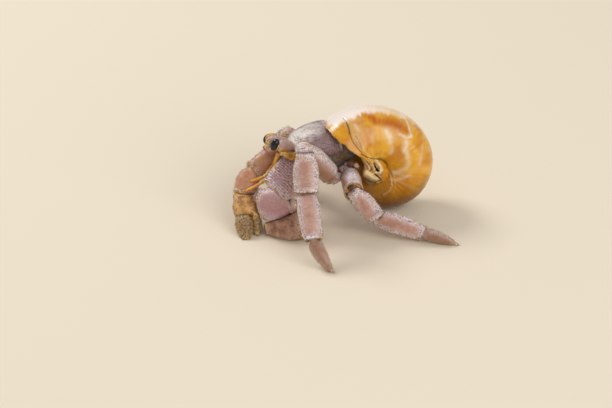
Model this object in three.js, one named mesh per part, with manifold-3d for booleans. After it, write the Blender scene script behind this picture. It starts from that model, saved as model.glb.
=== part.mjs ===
// A land hermit crab standing in its snail shell, at life size, in millimetres.
// It heads along -X, its own right side is +Y and up is +Z.
import * as THREE from 'three';
import { mergeVertices } from 'three/addons/utils/BufferGeometryUtils.js';
import Module from 'manifold-3d';

const wasm = await Module();
wasm.setup();

// ---- sizes that drive everything -------------------------------------------------

const GAP = 0.3;            // air left between two neighbouring plates
const FLOOR = 0;            // level the feet are trimmed to
const WELD = 1e-4;          // vertices closer than this become one
const FINEST = 0.01;        // detail below this is dropped after the cuts
const LEG_SIDES = 10;       // corners round a leg plate
const BODY_SIDES = 14;      // corners round the trunk
const JAW_SIDES = 8;
const FEELER_SIDES = 6;

// Snail shell: a spiral whose section grows by SHELL_GROWTH in every full turn.
const SHELL_APEX = [33.1, 9.2, 7.6];         // where the spiral starts
const SHELL_AXIS = [0.25, 0.86, -0.44];      // from the base towards the apex
const SHELL_ZERO = [0.966, -0.259, 0];       // direction that counts as 0 degrees
const SHELL_GROWTH = 2.6;
const SHELL_REACH = 20.2;                    // axis to the outer edge at the lip
const SHELL_NAVEL = 0.9;                     // axis to the inner edge at the lip
const SHELL_SWELL = 0.07;                    // share the reach gains towards 0 degrees
const SHELL_HALF_HEIGHT = 11.4;              // half the mouth, along the axis
const SHELL_DROP = 12.4;                     // apex to the middle of the mouth
const SHELL_WALL = 1.0;
const SHELL_LIP_ANGLE = 137;                 // where the mouth is, degrees round the axis
const SHELL_TURNS = [                        // [start, end, step] of each piece of spiral
  [-760, -490, 54],
  [-490, -220, 30],
  [-220, -40, 22.5],
  [-40, 137, 16.1],
];
const SHELL_HOLLOW = 118;                    // degrees of tube that are hollow
const CALLUS_AT = [185, 2.9, 12.2];          // degrees round, from the axis, from the apex
const CALLUS_HALF = [2.2, 2.8, 2];
const SHELL_LIP_BOW = 6;                     // degrees the lip bulges forward on the base side
const SHELL_BOW_FADE = 45;                   // degrees behind the lip where that bulge ends
const HOLLOW_STEP = 14;
const HOLLOW_PAST_LIP = 8;                   // degrees the hollow is cut past the lip
const LIP_MARGIN = 9;                        // degrees of turn that stand for 1 mm at the lip
const SHELL_SIDES = 16;                      // corners round the tube
const SHELL_CORNER = 2.2;                    // how full the section is

// Trunk: a frame of its own, turned towards the left, nose a little down.
const NOSE = [4.7, 0.5, 23.6];               // front tip of the shield
const TRUNK_YAW = 15;
const TRUNK_PITCH = 6;

// ---- small helpers ---------------------------------------------------------------

const vec = (p) => new THREE.Vector3(...p);
const { degToRad, lerp } = THREE.MathUtils;

/** Turns a closed geometry into a solid that can be joined and cut. */
function solidFrom(geometry) {
  geometry.deleteAttribute('normal');
  geometry.deleteAttribute('uv');
  const merged = mergeVertices(geometry, WELD);
  const vertProperties = new Float32Array(merged.attributes.position.array);
  const triVerts = new Uint32Array(merged.index.array);
  return new wasm.Manifold(new wasm.Mesh({ numProp: 3, vertProperties, triVerts }));
}

/** Keeps the biggest piece when a cut has left crumbs behind. */
function mainPiece(solid) {
  const pieces = solid.decompose();
  return pieces.reduce((best, piece) => (piece.volume() > best.volume() ? piece : best));
}

/** A value between -1 and 1 pushed outwards, so an oval becomes a rounded box. */
const fuller = (value, corner) => Math.sign(value) * Math.abs(value) ** (2 / corner);

/**
 * A closed bar along a smooth line through `points`. `across` is the direction of the
 * first half size; each row is [place along 0..1, half across, half through].
 */
function limb({ points, across, rows, sides = LEG_SIDES, corner = 2.3 }, grow = 0) {
  const path = new THREE.CatmullRomCurve3(points.map(vec), false, 'centripetal');
  const last = rows.length - 1;
  const geometry = new THREE.CylinderGeometry(1, 1, 1, sides, last);
  const position = geometry.attributes.position;
  const wanted = vec(across).normalize();
  for (let i = 0; i < position.count; i += 1) {
    const ring = Math.round((0.5 - position.getY(i)) * last);
    const [along, halfAcross, halfThrough] = rows[ring];
    const place = path.getPointAt(along);
    const forward = path.getTangentAt(along);
    const first = wanted.clone().addScaledVector(forward, -wanted.dot(forward)).normalize();
    const second = forward.clone().cross(first);
    const angle = Math.atan2(position.getZ(i), position.getX(i));
    const rim = Math.min(1, Math.hypot(position.getX(i), position.getZ(i)));
    const x = fuller(Math.cos(angle), corner) * rim * (halfAcross + grow);
    const z = fuller(Math.sin(angle), corner) * rim * (halfThrough + grow);
    place.addScaledVector(first, x).addScaledVector(second, z);
    if (ring === 0) place.addScaledVector(forward, -grow);
    if (ring === last) place.addScaledVector(forward, grow);
    position.setXYZ(i, place.x, place.y, place.z);
  }
  return solidFrom(geometry);
}

/** An egg with its own three half sizes, `long` along `up`. */
function egg({ centre, up, facing, half, sides = 8 }, grow = 0) {
  const geometry = new THREE.SphereGeometry(1, sides, sides - 2);
  const long = vec(up).normalize();
  const front = vec(facing).addScaledVector(long, -vec(facing).dot(long)).normalize();
  const side = long.clone().cross(front);
  const sizes = half.map((value) => value + grow);
  const frame = new THREE.Matrix4().makeBasis(
    side.multiplyScalar(sizes[0]),
    long.clone().multiplyScalar(sizes[1]),
    front.multiplyScalar(sizes[2]),
  );
  geometry.applyMatrix4(frame).translate(...centre);
  return solidFrom(geometry);
}

// ---- the snail shell ---------------------------------------------------------------

const axis = vec(SHELL_AXIS).normalize();
const zero = vec(SHELL_ZERO);
zero.addScaledVector(axis, -zero.dot(axis)).normalize();
const quarter = axis.clone().negate().cross(zero);

/** A piece of the spiral tube; `inset` makes it thinner than the shell's outside. */
function whorl([start, end, step], inset) {
  const rings = Math.max(2, Math.round((end - start) / step));
  const geometry = new THREE.CylinderGeometry(1, 1, 1, SHELL_SIDES, rings);
  const position = geometry.attributes.position;
  const middle = (SHELL_REACH + SHELL_NAVEL) / 2;
  const halfReach = (SHELL_REACH - SHELL_NAVEL) / 2;
  for (let i = 0; i < position.count; i += 1) {
    const angle = Math.atan2(position.getZ(i), position.getX(i));
    const plain = lerp(start, end, 0.5 - position.getY(i));
    const nearLip = Math.max(0, 1 - (SHELL_LIP_ANGLE - plain) / SHELL_BOW_FADE);
    const baseSide = Math.max(0, -Math.sin(angle));
    const turn = plain + SHELL_LIP_BOW * baseSide * nearLip;
    const size = SHELL_GROWTH ** ((turn - SHELL_LIP_ANGLE) / 360);
    const round = degToRad(turn);
    const swell = 1 + SHELL_SWELL * Math.max(0, Math.cos(round)) ** 2;
    const outward = zero.clone().multiplyScalar(Math.cos(round));
    outward.addScaledVector(quarter, Math.sin(round));
    const rim = Math.min(1, Math.hypot(position.getX(i), position.getZ(i)));
    const reach = fuller(Math.cos(angle), SHELL_CORNER) * (halfReach * size - inset);
    const rise = fuller(Math.sin(angle), SHELL_CORNER) * (SHELL_HALF_HEIGHT * size - inset);
    const place = vec(SHELL_APEX);
    place.addScaledVector(outward, swell * (middle * size + rim * reach));
    place.addScaledVector(axis, -SHELL_DROP * size + rim * rise);
    position.setXYZ(i, place.x, place.y, place.z);
  }
  return solidFrom(geometry);
}

const lip = SHELL_LIP_ANGLE;
const olderTurns = (grow) => whorl(SHELL_TURNS[1], -grow).add(whorl(SHELL_TURNS[0], -grow));
const hollow = (inset) => whorl([lip - SHELL_HOLLOW, lip + HOLLOW_PAST_LIP, HOLLOW_STEP], inset);

/** A point given as degrees round the axis, distance from it and distance from the apex. */
function onShell(turn, reach, drop) {
  const outward = zero.clone().multiplyScalar(Math.cos(degToRad(turn)));
  outward.addScaledVector(quarter, Math.sin(degToRad(turn)));
  return vec(SHELL_APEX).addScaledVector(outward, reach).addScaledVector(axis, -drop).toArray();
}

/** The thick lobe that half covers the shell's navel. */
const callus = (grow) => egg({
  centre: onShell(...CALLUS_AT), up: quarter.toArray(), facing: axis.toArray(), half: CALLUS_HALF,
}, grow);

function snailShell(grow = 0) {
  const [start, end, step] = SHELL_TURNS[3];
  const newest = whorl([start, end + LIP_MARGIN * grow, step], -grow);
  const outside = olderTurns(grow).add(whorl(SHELL_TURNS[2], -grow)).add(newest);
  const inside = hollow(SHELL_WALL + grow);
  const shell = outside.subtract(inside.subtract(olderTurns(grow))).add(callus(grow));
  return shell.trimByPlane([0, 0, 1], FLOOR - grow);
}

const BODY_REACH = 0.58;                       // where the body lies between axis and outer edge
const BODY_PLACES = [14, 40, 65, 90, 108];     // degrees behind the lip

/** The middle of the tube at an angle, a little towards its outer side. */
function tubeMiddle(turn) {
  const size = SHELL_GROWTH ** ((turn - SHELL_LIP_ANGLE) / 360);
  return onShell(turn, BODY_REACH * SHELL_REACH * size, SHELL_DROP * size);
}

/** The soft abdomen curls back into the tube behind the mouth. */
const abdomen = (grow = 0) => limb({
  points: BODY_PLACES.map((behind) => tubeMiddle(lip - behind)),
  across: axis.toArray(),
  rows: [[0, 7.2, 6], [0.15, 7.6, 6.4], [0.45, 7, 5.8], [0.8, 5.8, 4.8], [1, 4, 3.2]],
  sides: BODY_SIDES,
}, grow);

// ---- the trunk -----------------------------------------------------------------------

const yaw = degToRad(TRUNK_YAW);
const pitch = degToRad(TRUNK_PITCH);
const back = new THREE.Vector3(
  Math.cos(yaw) * Math.cos(pitch), Math.sin(yaw) * Math.cos(pitch), Math.sin(pitch));
const right = new THREE.Vector3(-Math.sin(yaw), Math.cos(yaw), 0);
const above = back.clone().cross(right);

/** A point given as distances behind, right of and above the nose. */
function onTrunk(behind, rightwards, upwards) {
  const place = vec(NOSE).addScaledVector(back, behind);
  return place.addScaledVector(right, rightwards).addScaledVector(above, upwards).toArray();
}

const SHIELD_EDGE = -4.2;   // the shield's side edges, below the nose
const REAR_EDGE = -8;       // the soft rear's side edges
const TRUNK_END = 20.5;

/** A rounded hood over the trunk, open below. */
const hood = (from, to, rows, edge, axisHeight, grow) => {
  const bar = {
    points: [onTrunk(from, 0, axisHeight), onTrunk(to, 0, axisHeight)],
    across: right.toArray(),
    rows,
    sides: BODY_SIDES,
    corner: 2.15,
  };
  const level = above.dot(vec(NOSE)) + edge - grow;
  return limb(bar, grow).trimByPlane(above.toArray(), level);
};

const trunk = (grow = 0) => limb({
  points: [onTrunk(1.2, 0, -5.5), onTrunk(TRUNK_END, 0, -5.5)],
  across: right.toArray(),
  rows: [[0, 2.4, 3], [0.08, 4, 4.6], [0.3, 5.2, 6], [0.6, 5.6, 6.5], [0.85, 5.4, 6], [1, 4.6, 5]],
  sides: BODY_SIDES,
}, grow);

const SHIELD_END = 13.2;    // distances behind the nose
const REAR_FROM = 12.6;
const REAR_TO = 19.6;

const shield = (grow = 0) => hood(0, SHIELD_END, [
  [0, 1.4, 2.6], [0.06, 3.8, 4], [0.18, 5.4, 4.9], [0.42, 6.5, 5.5],
  [0.64, 6.9, 5.7], [0.86, 6.9, 5.4], [1, 6.6, 4.9],
], SHIELD_EDGE, -3.2, grow);

const softRear = (grow = 0) => hood(REAR_FROM, REAR_TO, [
  [0, 6.2, 6], [0.3, 6.7, 6.6], [0.7, 6.6, 6.4], [1, 5.8, 5.6],
], REAR_EDGE, -4.9, grow);

// ---- legs ----------------------------------------------------------------------------

// Rows shared by plates of one kind; each plate scales them with its own half sizes.
const SHAPES = {
  stub: [[0, 0.75, 0.75], [0.5, 1, 1], [1, 0.8, 0.8]],
  arched: [[0, 0.7, 0.7], [0.15, 0.9, 0.9], [0.45, 1, 1], [0.76, 1, 1], [0.92, 0.76, 0.84], [1, 0.4, 0.5]],
  thigh: [[0, 0.7, 0.7], [0.15, 0.9, 0.9], [0.5, 1, 1], [0.9, 0.96, 0.92], [1, 0.8, 0.76]],
  wrist: [[0, 0.66, 0.66], [0.16, 0.88, 0.88], [0.5, 1, 1], [0.9, 0.95, 0.92], [1, 0.8, 0.76]],
  shin: [[0, 0.66, 0.68], [0.12, 0.88, 0.88], [0.4, 1, 1], [0.88, 0.86, 0.86], [1, 0.66, 0.68]],
  toe: [[0, 0.66, 0.7], [0.14, 0.98, 0.98], [0.45, 0.9, 0.9], [0.78, 0.56, 0.58], [1, 0.17, 0.19]],
  palm: [[0, 0.66, 0.68], [0.16, 0.9, 0.9], [0.55, 1, 1], [1, 0.88, 0.84]],
  wedge: [[0, 0.36, 0.5], [0.2, 0.64, 0.84], [0.6, 0.96, 1], [1, 0.94, 0.86]],
  arm: [[0, 0.8, 0.74], [0.25, 1, 0.94], [0.7, 1, 1], [1, 0.84, 0.8]],
  finger: [[0, 0.84, 0.88], [0.25, 1, 1], [0.7, 0.82, 0.78], [1, 0.36, 0.36]],
};

/** One plate of a leg between two joints, as a table row: name, shape, points, sizes. */
function plate(shape, points, across, halfAcross, halfThrough) {
  const rows = SHAPES[shape].map(([along, a, b]) => [along, a * halfAcross, b * halfThrough]);
  return (grow = 0) => limb({ points, across, rows }, grow).trimByPlane([0, 0, 1], FLOOR - grow);
}

const AHEAD = [0.966, -0.259, 0];
const UP = [0, 0, 1];

// Joints of each leg from the trunk to the tip. The thigh ends at the knee and the next
// plate starts at the wrist, beside it.
const LEFT_SECOND = {
  hip: [15.2, -0.4, 13.2],
  thigh: [16.6, -3, 12.9],
  knee: [6.1, -8.8, 26.9],
  wrist: [6.2, -11.4, 25.7],
  shin: [5.4, -15.2, 16.9],
  toe: [4.8, -24.5, 7.2],
  tip: [8.6, -30.7, -0.2],
};
const LEFT_THIRD = {
  hip: [18.6, 0, 13.2],
  thigh: [20.9, -3.6, 14],
  knee: [19.5, -13, 13.7],
  wrist: [19.5, -13, 13.7],
  shin: [25.3, -15.2, 6],
  toe: [37, -21.3, 2.6],
  tip: [45.5, -25.7, 0],
};
const RIGHT_SECOND = {
  hip: [14.8, 5.6, 12.2],
  thigh: [14, 8, 12.4],
  knee: [7.4, 14, 19.4],
  wrist: [7.6, 15.4, 17.6],
  shin: [6, 19.5, 11.5],
  toe: [4.5, 28, 3.8],
  tip: [6.5, 35, 0],
};
const RIGHT_THIRD = {
  hip: [17.4, 8, 13.4],
  thigh: [19, 10, 13.6],
  knee: [24, 19, 15],
  wrist: [24, 19, 15],
  shin: [28.5, 21.4, 7.5],
  toe: [34, 27, 3.5],
  tip: [41, 31.5, 0],
};
const TOE_MIDDLE = 0.55;     // share of the last plate where it bends
const STUB_WIDTH = 0.72;     // the first short plate against the thigh
const STUB_DEPTH = 0.9;

/** The five plates of a walking leg. */
function walkingLeg(name, at, thighShape, sizes, across, toeBend) {
  const [thigh, wrist, shin, toe] = sizes;
  const bent = at.toe.map((value, i) => lerp(value, at.tip[i], TOE_MIDDLE) + toeBend[i]);
  const stub = [thigh[0] * STUB_WIDTH, thigh[1] * STUB_DEPTH];
  return [
    [`${name}_ischium`, plate('stub', [at.hip, at.thigh], across, ...stub)],
    [`${name}_merus`, plate(thighShape, [at.thigh, at.knee], across, ...thigh)],
    [`${name}_carpus`, plate('wrist', [at.wrist, at.shin], across, ...wrist)],
    [`${name}_propodus`, plate('shin', [at.shin, at.toe], across, ...shin)],
    [`${name}_dactyl`, plate('toe', [at.toe, bent, at.tip], across, ...toe)],
  ];
}

const SECOND_SIZES = [[3.4, 2.6], [3.5, 2.7], [3.1, 2.3], [2.1, 1.6]];
const THIRD_SIZES = [[3.1, 2.9], [2.8, 2.4], [2.6, 1.9], [1.7, 1.4]];

// ---- claw legs -------------------------------------------------------------------------

const HAND_UP = [0.3, 0.48, 0.86];       // the left hand leans towards the shell
const ARM_UP = [-0.61, 0.52, 0.6];       // the left arm's broad face looks outwards

const leftClaw = [
  ['left_claw_ischium', 'stub', [[12.6, -0.8, 14.2], [8.6, -1.8, 17.6]], UP, [3, 2.2]],
  ['left_claw_merus', 'arm', [[7.7, -2, 18.5], [3.9, -3.4, 15.7], [-0.3, -4.8, 12.3]], ARM_UP, [5, 2.8]],
  ['left_claw_carpus', 'wrist', [[-1.5, -4.6, 13.3], [-0.7, -5.4, 8.9], [0.5, -6, 5.1]], AHEAD, [5.5, 3]],
  ['left_claw_palm', 'wedge', [[-3.2, -6.4, 1.7], [1.2, -8.4, 2.8], [5.6, -10.4, 4]], HAND_UP, [4.2, 3.3]],
  ['left_claw_finger', 'finger', [[5, -11, 1.9], [9.8, -12.9, 0.9]], HAND_UP, [1.8, 1.7]],
  ['left_claw_dactyl', 'finger', [[5.2, -9.2, 5.6], [9.8, -11.5, 3.9]], HAND_UP, [1.9, 1.6]],
];

const rightClaw = [
  ['right_claw_ischium', 'stub', [[10.8, 5.2, 14.4], [6, 6.2, 17.4]], UP, [2.7, 2]],
  ['right_claw_merus', 'arm', [[4.8, 6.6, 17.6], [-4, 5.4, 13.8]], [-0.5, 0.3, 0.8], [3.5, 2.5]],
  ['right_claw_carpus', 'wrist', [[-4.2, 5.2, 14.2], [-6.3, 4, 11.4], [-7.6, 2, 8.6]], AHEAD, [3.3, 2.8]],
  ['right_claw_palm', 'palm', [[-7.6, 2, 8.6], [-8.4, -3, 4.6]], AHEAD, [3.7, 2.6]],
  ['right_claw_finger', 'finger', [[-9.4, -3, 4.2], [-9.7, -7.4, -0.2]], AHEAD, [2.4, 2]],
  ['right_claw_dactyl', 'finger', [[-5.8, -2.6, 4.2], [-6.2, -6.2, 0.2]], AHEAD, [1.6, 1.7]],
];

/** The plates of a claw leg as name and shape pairs. */
const clawLeg = (table) => table.map(
  ([name, shape, points, across, sizes]) => [name, plate(shape, points, across, ...sizes)]);

// ---- head --------------------------------------------------------------------------------

const LEFT_EYE = [-0.1, -2.5, 25.6];
const RIGHT_EYE = [-0.9, 2.2, 24.8];
const CORNEA_UP = [0.42, -0.1, 0.9];
const CORNEA_FACING = [-0.9, -0.3, 0.4];
const CORNEA_HALF = [1.15, 1.8, 1.15];

const cornea = (centre) => (grow = 0) =>
  egg({ centre, up: CORNEA_UP, facing: CORNEA_FACING, half: CORNEA_HALF }, grow);

const stalk = (points) => (grow = 0) => limb({
  points,
  across: UP,
  rows: [[0, 1.3, 0.8], [0.25, 1.8, 1], [0.8, 1.9, 1.2], [1, 1.6, 1]],
}, grow);

const feeler = (points, [thick, thin]) => (grow = 0) => limb({
  points,
  across: UP,
  rows: [0, 0.2, 0.4, 0.6, 0.8, 1].map((t) => [t, lerp(thick, thin, t), lerp(thick, thin, t)]),
  sides: FEELER_SIDES,
  corner: 2,
}, grow);

const jaw = (points) => (grow = 0) => limb({
  points,
  across: UP,
  rows: [[0, 1.1, 0.8], [0.4, 1.4, 1], [1, 0.5, 0.45]],
  sides: JAW_SIDES,
}, grow);

const WHIP = [0.34, 0.26];           // half thickness at the root and at the tip
const ANTENNULE = [0.55, 0.42];
const ANTENNULE_TIP = [0.5, 0.36];

const head = [
  ['left_cornea', cornea(LEFT_EYE)],
  ['right_cornea', cornea(RIGHT_EYE)],
  ['left_eyestalk', stalk([[6.2, -0.6, 22.6], [3, -1.6, 24], LEFT_EYE])],
  ['right_eyestalk', stalk([[5.4, 2.2, 22.2], [2, 1.5, 23.9], [-0.8, 1.1, 25.2]])],
  ['left_antenna_base', jaw([[7.4, -2.8, 20.8], [4, -3.4, 22], [1.3, -3.5, 23.2]])],
  ['right_antenna_base', jaw([[5.6, 4.2, 20.4], [2.4, 4.4, 21.4], [-0.4, 3.8, 22.2]])],
  ['left_antenna', feeler([[1.5, -3.5, 23], [0.4, -3.3, 22.4], [-0.2, -3.1, 20.6], [0, -2.4, 17.6]], WHIP)],
  ['right_antenna', feeler([[-0.5, 3.9, 22.1], [-1.2, 6.4, 20.6], [0.6, 9.8, 16.6], [3, 12, 12]], WHIP)],
  ['left_antennule_base', feeler([[1.8, 0.2, 21], [0.4, 0.4, 16.8], [-1.9, 0.1, 13.7]], ANTENNULE)],
  ['right_antennule_base', feeler([[1.9, 1.8, 20.2], [0.4, 1.8, 16.5], [-2.1, 1.5, 13.8]], ANTENNULE)],
  ['left_antennule_tip', feeler([[-2.3, 0, 13.3], [-5.3, -0.4, 12.1], [-8.2, -0.8, 11.3]], ANTENNULE_TIP)],
  ['right_antennule_tip', feeler([[-2.5, 1.5, 13.6], [-4.3, 1.4, 13.2], [-6, 1.3, 12.9]], ANTENNULE_TIP)],
  ['left_jaw_leg', jaw([[9.2, 1.4, 13.8], [7.4, 1.2, 11.6], [6.6, 0.8, 8]])],
  ['right_jaw_leg', jaw([[7.2, 3.6, 15], [4.8, 3.2, 12.6], [3.8, 2.6, 9]])],
];

// Short legs that grip the shell's mouth.
const gripping = [
  ['left_fourth_leg', plate('stub', [[20.8, -0.4, 15.6], [22.6, -4.6, 16.6]], UP, 1.2, 1)],
  ['right_fourth_leg', plate('stub', [[20.2, 8.2, 17.6], [20.8, 12.4, 18.4]], UP, 1.3, 1.1)],
];

// ---- putting it together -------------------------------------------------------------------

const COLOURS = {
  shell: 0xd9a25a, shield: 0x8f7f92, soft: 0x8c8886, leg: 0xa98a8c, claw: 0x8d6a6a,
  eye: 0x0c0b0d, feeler: 0xe09a3e,
};

const colourOf = (name) => {
  if (name === 'shell') return COLOURS.shell;
  if (name === 'shield') return COLOURS.shield;
  if (/cornea/.test(name)) return COLOURS.eye;
  if (/antenn/.test(name)) return COLOURS.feeler;
  if (/claw/.test(name)) return COLOURS.claw;
  return /trunk|abdomen|soft/.test(name) ? COLOURS.soft : COLOURS.leg;
};

// Earlier entries keep their whole shape; a later one is cut back by the gap round them.
const list = [
  ['shell', snailShell],
  ['shield', (grow) => shield(grow).subtract(trunk(GAP - grow))],
  ['trunk', trunk],
  ['soft_rear', (grow) => softRear(grow).subtract(trunk(GAP - grow))],
  ['abdomen', abdomen],
  ...clawLeg(leftClaw),
  ...clawLeg(rightClaw),
  ...walkingLeg('left_second', LEFT_SECOND, 'arched', SECOND_SIZES, AHEAD, [-0.6, -0.5, 0.5]),
  ...walkingLeg('left_third', LEFT_THIRD, 'thigh', THIRD_SIZES, UP, [0, -0.4, 0.6]),
  ...walkingLeg('right_second', RIGHT_SECOND, 'arched', SECOND_SIZES, AHEAD, [-0.6, 0.5, 0.5]),
  ...walkingLeg('right_third', RIGHT_THIRD, 'thigh', THIRD_SIZES, UP, [0, 0.4, 0.6]),
  ...head,
  ...gripping,
];

/** True when two boxes come within the gap of each other. */
const near = (a, b) => [0, 1, 2].every(
  (i) => a.min[i] - GAP <= b.max[i] && b.min[i] - GAP <= a.max[i]);

const group = new THREE.Group();
const placed = [];
for (const [name, make] of list) {
  let solid = make(0);
  for (const other of placed) {
    if (near(solid.boundingBox(), other.box)) solid = solid.subtract(other.make(GAP));
  }
  solid = mainPiece(solid).simplify(FINEST);
  placed.push({ name, make, solid, box: solid.boundingBox() });
}

for (const { name, solid } of placed) {
  const { vertProperties, triVerts } = solid.getMesh();
  const geometry = new THREE.BufferGeometry();
  geometry.setAttribute('position', new THREE.BufferAttribute(vertProperties, 3));
  geometry.setIndex(new THREE.BufferAttribute(triVerts, 1));
  geometry.computeVertexNormals();
  const material = new THREE.MeshStandardMaterial({ color: colourOf(name), roughness: 0.6 });
  const mesh = new THREE.Mesh(geometry, material);
  mesh.name = name;
  group.add(mesh);
}

// The origin goes under the middle of the bounding box.
const box = new THREE.Box3().setFromObject(group);
const middle = box.getCenter(new THREE.Vector3());
for (const mesh of group.children) mesh.geometry.translate(-middle.x, -middle.y, -box.min.z);

export default group;
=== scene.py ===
import itertools
import math
import bpy
import numpy as np
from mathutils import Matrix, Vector
from mathutils.bvhtree import BVHTree


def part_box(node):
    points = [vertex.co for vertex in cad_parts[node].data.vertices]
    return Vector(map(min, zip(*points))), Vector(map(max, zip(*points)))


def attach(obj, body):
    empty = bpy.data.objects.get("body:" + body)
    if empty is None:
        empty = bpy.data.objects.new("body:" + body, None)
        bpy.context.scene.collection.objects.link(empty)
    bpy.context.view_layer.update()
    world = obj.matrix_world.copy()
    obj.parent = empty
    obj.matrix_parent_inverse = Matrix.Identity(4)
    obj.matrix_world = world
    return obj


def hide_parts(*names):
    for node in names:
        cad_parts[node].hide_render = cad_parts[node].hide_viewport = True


# A land hermit crab in its snail shell. All working lengths are millimetres, in the frame's own axes:
# the crab heads along -X, its left side is -Y and up is +Z.

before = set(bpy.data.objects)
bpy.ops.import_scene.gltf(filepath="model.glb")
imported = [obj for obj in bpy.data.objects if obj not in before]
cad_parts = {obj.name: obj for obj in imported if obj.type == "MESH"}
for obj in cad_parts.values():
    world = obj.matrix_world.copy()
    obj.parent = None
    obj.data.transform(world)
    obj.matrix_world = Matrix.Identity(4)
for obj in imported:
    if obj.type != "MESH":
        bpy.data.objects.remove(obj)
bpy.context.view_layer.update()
mm = 0.001
print("frame loaded")


# small mathematics

def unit(vectors):
    vectors = np.asarray(vectors, float)
    return vectors / np.maximum(np.linalg.norm(vectors, axis=-1, keepdims=True), 1e-9)


def ramp(low, high, value):
    share = np.clip((value - low) / (high - low), 0, 1)
    return share * share * (3 - 2 * share)


def bell(distance, width):
    return np.exp(-(np.asarray(distance) / width) ** 2)


def hashed(cells, seed):
    # one steady number from 0 to 1 for each whole-number cell
    x, y, z = (cells[..., k].astype(np.int64) for k in range(3))
    mixed = x * 374761393 + y * 668265263 + z * 1440662683 + seed * 1274126177
    mixed = (mixed ^ (mixed >> 13)) * 1274126177
    mixed = mixed ^ (mixed >> 16)
    return (mixed & 0xFFFFFF) / 0xFFFFFF


def softNoise(points, size, seed=0):
    # smooth lumps from -1 to 1, about `size` mm across
    places = points / size
    base = np.floor(places)
    part = places - base
    part = part * part * (3 - 2 * part)
    total = np.zeros(points.shape[:-1])
    for corner in itertools.product((0, 1), repeat=3):
        weight = np.prod(np.where(corner, part, 1 - part), axis=-1)
        total += weight * hashed(base + corner, seed)
    return 2 * total - 1


def layeredNoise(points, size, seed=0):
    return sum(softNoise(points, size / 2 ** k, seed + k) / 2 ** k for k in range(3)) / 1.6


def granules(points, spacing, seed=0):
    # domed grains: 1 on the middle of each and 0 in the furrows between
    places = points / spacing
    base = np.floor(places)
    nearest = np.full(places.shape[:-1], 9.0)
    for step in itertools.product((-1, 0, 1), repeat=3):
        cell = base + step
        jitter = np.stack([hashed(cell, seed + k) for k in range(3)], -1)
        gap = cell + 0.2 + 0.6 * jitter - places
        nearest = np.minimum(nearest, (gap ** 2).sum(-1))
    return np.clip(1 - nearest / 0.32, 0, 1)


def scaleRows(along, across, points, rowMm, scaleMm, seed):
    # wavy rows of low scales, laid like bricks; each rises to a curved free edge
    phase = along / rowMm + 0.8 * softNoise(points, 2.0, seed)
    place = across / scaleMm + 0.5 * np.floor(phase) + 0.6 * softNoise(points, 1.4, seed + 1)
    off = 2 * (place % 1) - 1
    rise = (phase + 0.3 * off ** 2) % 1
    return rise ** 1.5 * (1 - 0.75 * off ** 6)


def nearLine(points, line, width):
    # 1 on a chain of places and falling to 0 about two widths away
    gap = np.full(points.shape[:-1], 1e9)
    for start, end in zip(line[:-1], line[1:]):
        span = end - start
        share = np.clip(((points - start) @ span) / (span @ span), 0, 1)
        gap = np.minimum(gap, np.linalg.norm(points - start - share[..., None] * span, axis=-1))
    return bell(gap, width)


def fullTurn(count):
    return np.linspace(0, 2 * math.pi, count, endpoint=False)


def spokes(first, second, angles):
    # directions all round, from `first` towards `second`
    return first * np.cos(angles)[:, None] + second * np.sin(angles)[:, None]


def soften(rows, times):
    # evens out neighbouring rows
    for _ in range(times):
        padded = np.vstack([rows[:1], rows, rows[-1:]])
        rows = (padded[:-2] + 2 * padded[1:-1] + padded[2:]) / 4
    return rows


# reading the CAD nodes
barMeasure = {"stations": 11, "rings": 24, "rays": 40, "harmonics": 6, "softened": 2}
nodeCache = {}


def readNode(name):
    if name not in nodeCache:
        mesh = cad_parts[name].data
        points = np.array([v.co for v in mesh.vertices]) / mm
        faces = [list(p.vertices) for p in mesh.polygons]
        tree = BVHTree.FromPolygons([Vector(p) for p in points], faces)
        corners = points[np.array(faces)]
        area = np.linalg.norm(np.cross(corners[:, 1] - corners[:, 0], corners[:, 2] - corners[:, 0]), axis=1)
        centre = (corners.mean(1) * area[:, None]).sum(0) / area.sum()
        nodeCache[name] = {"points": points, "faces": np.array(faces), "tree": tree, "corners": corners,
                           "area": area[:, None], "centre": centre}
    return nodeCache[name]


def sliceCentre(node, origin, direction):
    # middle of the outline where a plane cuts the node
    corners = node["corners"]
    heights = (corners - origin) @ direction
    nextCorners, nextHeights = np.roll(corners, -1, axis=1), np.roll(heights, -1, axis=1)
    crossing = (heights > 0) != (nextHeights > 0)
    cut = crossing.sum(1) == 2
    share = heights / np.where(crossing, heights - nextHeights, 1)
    places = corners + (nextCorners - corners) * share[..., None]
    pairs = places[cut][crossing[cut]].reshape(-1, 2, 3)
    length = np.linalg.norm(pairs[:, 1] - pairs[:, 0], axis=1)
    return (pairs.mean(1) * length[:, None]).sum(0) / length.sum()


def longAxis(node, heading):
    # the node's long direction, pointing the way of `heading`
    middle = node["corners"].mean(1) - node["centre"]
    direction = np.linalg.eigh((middle * node["area"]).T @ middle)[1][:, -1]
    return direction * np.sign(direction @ heading)


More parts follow.
